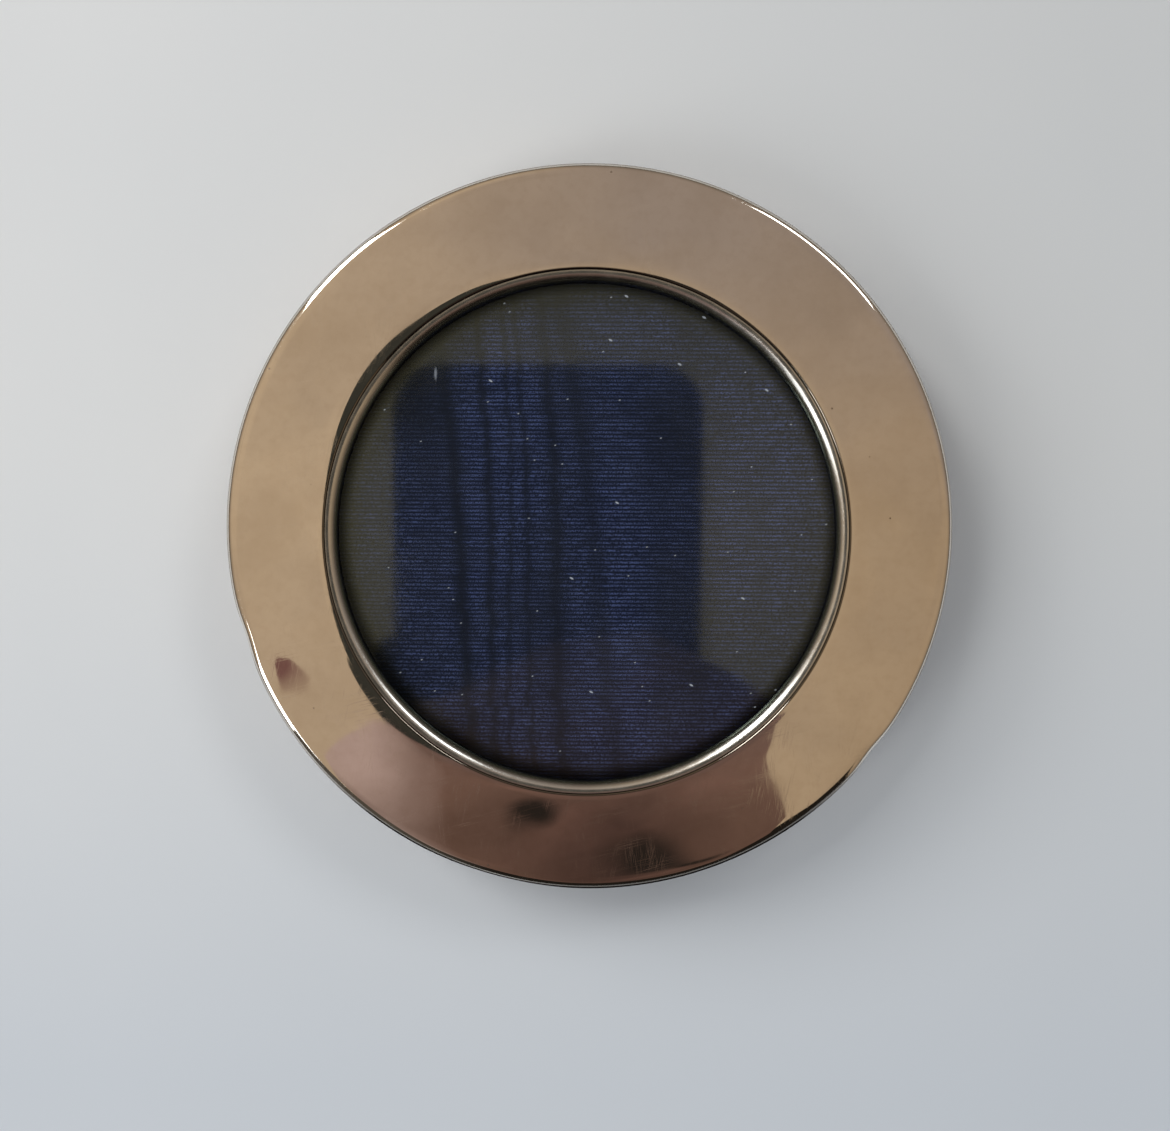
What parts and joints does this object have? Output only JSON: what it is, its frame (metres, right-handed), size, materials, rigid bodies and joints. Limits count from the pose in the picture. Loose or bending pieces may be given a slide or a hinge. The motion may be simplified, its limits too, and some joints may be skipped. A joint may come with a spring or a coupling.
{
  "type": "round display frame",
  "caption": "Round mirror-polished metal display frame with a glazed opening over watered silk, a push-in padded back and a folding easel strut.",
  "frame": {"origin": "on the frame's axis, in the plane that the folded strut's outer face rests on", "axes": "+Z is the way the face looks, +Y is the top of the frame when it stands, +X is to the right when the face is seen with its top up"},
  "size_m": [0.088, 0.088, 0.0121],
  "materials": {
    "polished_silver": "mirror polish, lightly tarnished, fine scratches",
    "bead_silver": "bright polish",
    "core_wood": "bare turned wood",
    "navy_velvet": "short-pile velvet",
    "picture_glass": "clear, with dust",
    "black_card": "matt",
    "navy_moire_silk": "watered silk, ribbed across, with watermark",
    "wadding": "soft felted",
    "grey_card": "matt",
    "back_wood": "sanded",
    "navy_ribbon": "ribbed ribbon with a soft sheen",
    "hinge_brass": "rolled brass, lightly worn",
    "rivet_brass": "polished heads",
    "lining_paper": "matt coloured paper",
    "pin_brass": "drawn wire"
  },
  "bodies": {
    "back": {"moire_silk": "navy_moire_silk", "silk_wadding": "wadding", "insert_card": "grey_card", "back_board": "back_wood", "back_velvet": "navy_velvet", "pull_tab": "navy_ribbon", "hinge_upper_leaf": "hinge_brass", "upper_rivets": "rivet_brass"},
    "front": {"silver_front": "polished_silver", "aperture_bead": "bead_silver", "core_ring": "core_wood", "rear_ring_cover": "navy_velvet", "skirt_pins": "polished_silver", "glass": "picture_glass", "spacer_ring": "black_card"},
    "strut": {"strut_board": "back_wood", "strut_velvet": "navy_velvet", "strut_lining": "lining_paper", "hinge_lower_leaf": "hinge_brass", "lower_rivets": "rivet_brass", "hinge_pin": "pin_brass"}
  },
  "joints": [
    {"name": "front_lift_off", "type": "slide", "parent": "back", "child": "front", "axis": [0, 0, 1], "range_m": [0, 0.02]},
    {"name": "strut_hinge", "type": "hinge", "parent": "back", "child": "strut", "pos_m": [0, 0.02, 0.0015], "axis": [1, 0, 0], "range_deg": [0, 35]}
  ]
}
